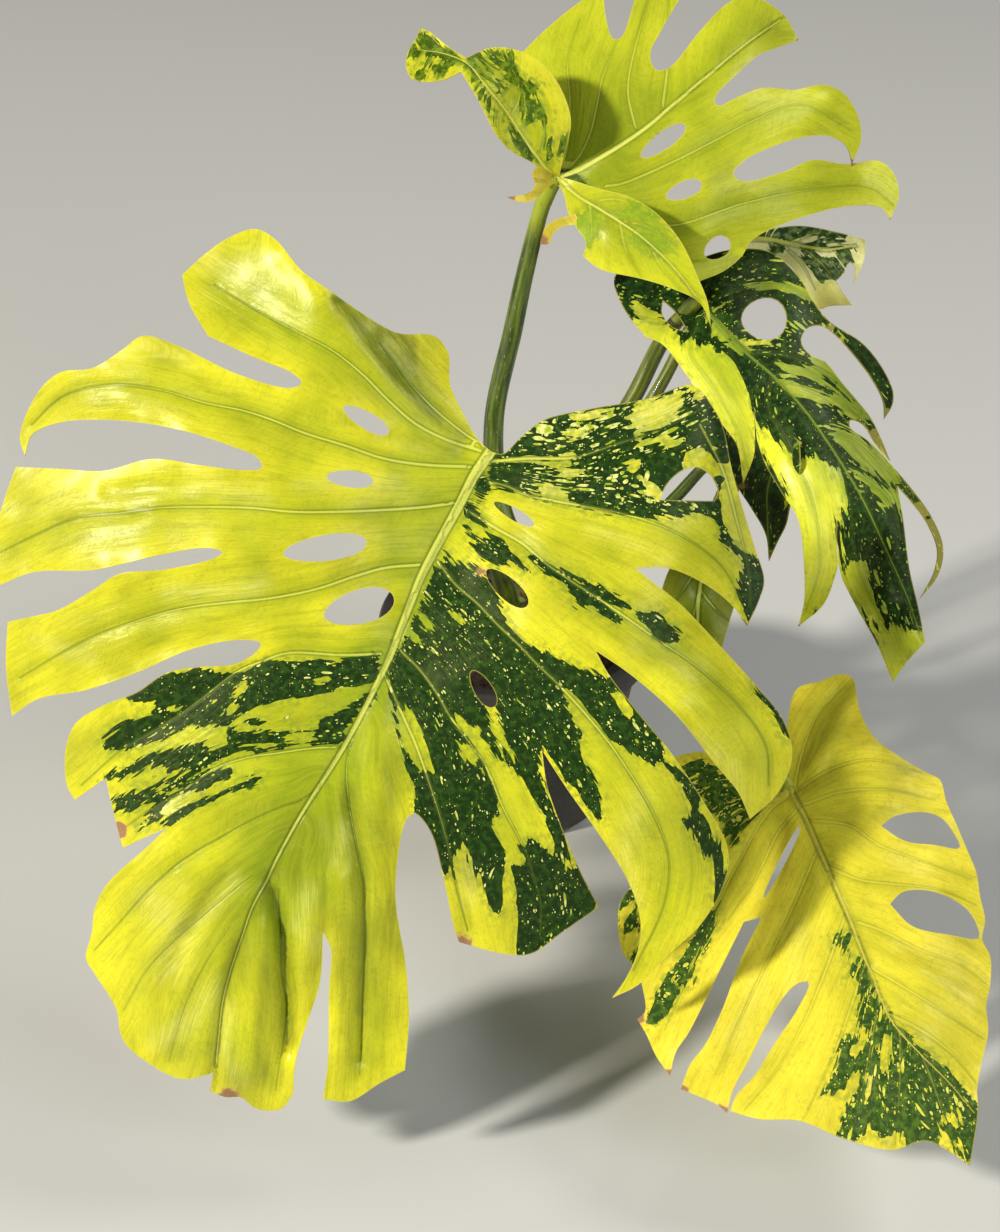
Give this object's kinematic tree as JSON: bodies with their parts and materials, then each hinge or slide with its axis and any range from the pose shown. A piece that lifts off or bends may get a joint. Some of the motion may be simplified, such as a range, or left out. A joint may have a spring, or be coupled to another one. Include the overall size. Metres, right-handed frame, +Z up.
{
  "type": "potted monstera plant",
  "caption": "Potted variegated monstera: split and pierced yellow and green leaf blades on long stalks, a short stem in bark soil, and a plain tapered pot.",
  "frame": {"origin": "middle of the flat underside of the pot", "axes": "+Z up along the pot's axis, -Y towards the side that the largest leaf faces, +X to the right as seen from there"},
  "size_m": [0.5161, 0.5738, 0.4758],
  "materials": {
    "pot": "matte",
    "soil": "matte",
    "stem": "satin",
    "petiole": "satin",
    "leaf": "satin",
    "leaf_green": "satin",
    "leaf_cream": "satin"
  },
  "bodies": {
    "root": {"pot": "pot", "soil": "soil", "stem": "stem", "petiole_front": "petiole", "blade_front": "leaf", "petiole_top": "petiole", "blade_top": "leaf", "petiole_right": "petiole", "blade_right": "leaf_green", "petiole_far": "petiole", "blade_far": "leaf_cream", "petiole_low": "petiole", "blade_low": "leaf", "petiole_back": "petiole", "blade_back": "leaf"}
  },
  "joints": []
}
